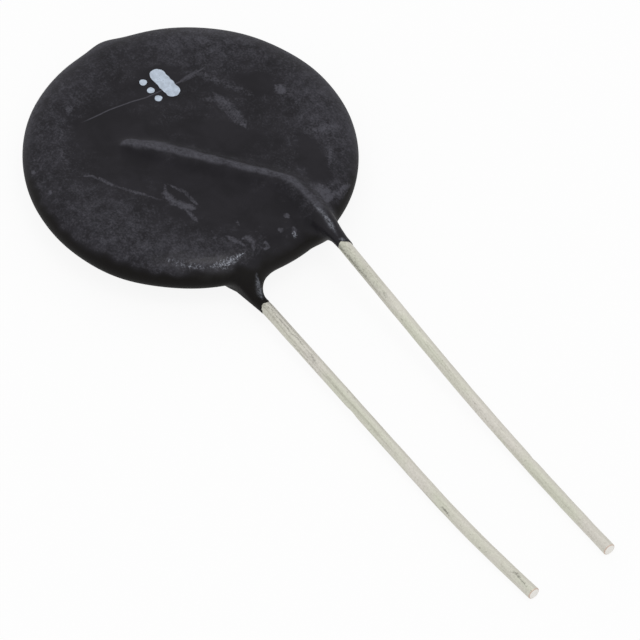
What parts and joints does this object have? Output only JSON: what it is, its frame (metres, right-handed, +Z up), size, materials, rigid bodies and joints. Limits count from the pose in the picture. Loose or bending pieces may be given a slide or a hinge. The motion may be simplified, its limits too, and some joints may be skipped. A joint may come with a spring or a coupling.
{
  "type": "ntc thermistor",
  "caption": "Resin-dipped disc NTC thermistor with a pair of radial tinned wire leads, lying on its side as it comes to rest.",
  "frame": {"origin": "on the resting plane, under the middle of the whole part's box", "axes": "+X along the leads from the disc to their tips, +Y towards the upper lead's side, +Z up along the disc's axis"},
  "size_m": [0.0624, 0.026, 0.0049],
  "materials": {
    "resin_coat": "dipped charcoal-black resin, matt, with dusty grey scuffs and a few glossy spots",
    "oxide_ceramic": "sintered dark oxide, fine grained and matt",
    "fired_silver": "fired silver film, matt",
    "solder": "soft solder, dull and smooth",
    "tinned_wire": "tinned copper wire, pale, satin, with streaks along it",
    "pale_ink": "thin pale blue-white ink"
  },
  "bodies": {
    "root": {"coating": "resin_coat", "thermistor_disc": "oxide_ceramic", "electrode_top": "fired_silver", "electrode_bottom": "fired_silver", "solder_top": "solder", "solder_bottom": "solder", "lead_top": "tinned_wire", "lead_bottom": "tinned_wire", "printed_mark": "pale_ink"}
  },
  "joints": []
}
